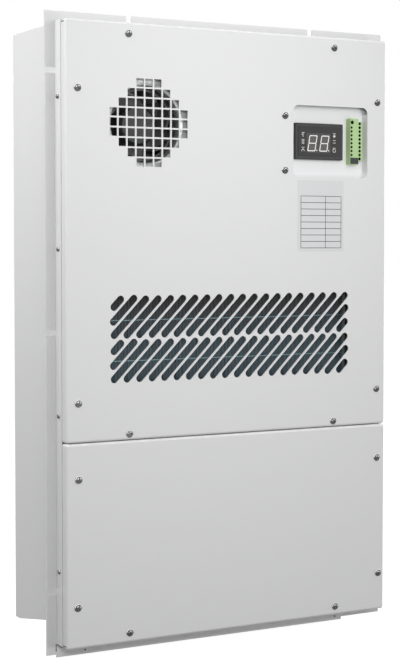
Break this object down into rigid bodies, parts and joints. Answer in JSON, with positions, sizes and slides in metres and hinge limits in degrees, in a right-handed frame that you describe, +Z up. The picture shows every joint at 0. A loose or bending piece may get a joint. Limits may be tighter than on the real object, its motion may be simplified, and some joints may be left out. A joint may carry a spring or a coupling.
{
  "type": "cabinet air conditioner",
  "caption": "Flange-mounted cabinet air conditioner with a round square-hole inlet grille, slanted outlet slots, a display window and a deeper rear shell.",
  "frame": {"origin": "on the back face of the mounting flange, at mid-width, level with the lower ends of the side flanges", "axes": "+X to the right seen from the front, +Y to the back, into the cabinet, +Z up"},
  "size_m": [0.486, 0.1775, 0.7775],
  "materials": {
    "powder_coat": "light grey fine-texture powder coat",
    "inner_coat": "smooth light grey coat",
    "zinc_sheet": "galvanised sheet",
    "black_plastic": "matt black",
    "motor_shell": "dark grey",
    "coil_fin": "coated aluminium fins",
    "copper": "bare copper",
    "green_plastic": "satin",
    "smoked_glass": "glossy black window"
  },
  "bodies": {
    "cabinet": {"frame_left": "powder_coat", "frame_right": "powder_coat", "frame_top": "powder_coat", "frame_bottom": "powder_coat", "cross_rail": "zinc_sheet", "upper_cover": "powder_coat", "lower_cover": "powder_coat", "back_cover": "powder_coat", "rear_left": "powder_coat", "rear_right": "powder_coat", "rear_top": "powder_coat", "rear_bottom": "powder_coat", "drain_spout": "black_plastic", "partition": "zinc_sheet", "front_upper_shelf": "zinc_sheet", "front_lower_shelf": "zinc_sheet", "rear_upper_shelf": "zinc_sheet", "rear_lower_shelf": "zinc_sheet", "fan_deck": "inner_coat", "controller_plate": "inner_coat", "rear_fan_deck": "inner_coat", "inlet_ring": "zinc_sheet", "rear_inlet_ring": "zinc_sheet", "rear_impeller_wheel": "black_plastic", "rear_impeller_hub": "motor_shell", "fan_motor": "motor_shell", "rear_fan_motor": "motor_shell", "coil_fins": "coil_fin", "coil_end_left": "zinc_sheet", "coil_end_right": "zinc_sheet", "coil_bends": "copper", "rear_coil_fins": "coil_fin", "rear_coil_end_left": "zinc_sheet", "rear_coil_end_right": "zinc_sheet", "rear_coil_bends": "copper", "display_bezel": "black_plastic", "display_glass": "smoked_glass", "terminal_header": "green_plastic", "terminal_plug": "green_plastic"},
    "impeller": {"impeller_wheel": "black_plastic", "impeller_hub": "motor_shell"}
  },
  "joints": [
    {"name": "fan_spin", "type": "hinge", "parent": "cabinet", "child": "impeller", "pos_m": [-0.116, 0, 0.642], "axis": [0, -1, 0], "continuous": true}
  ]
}
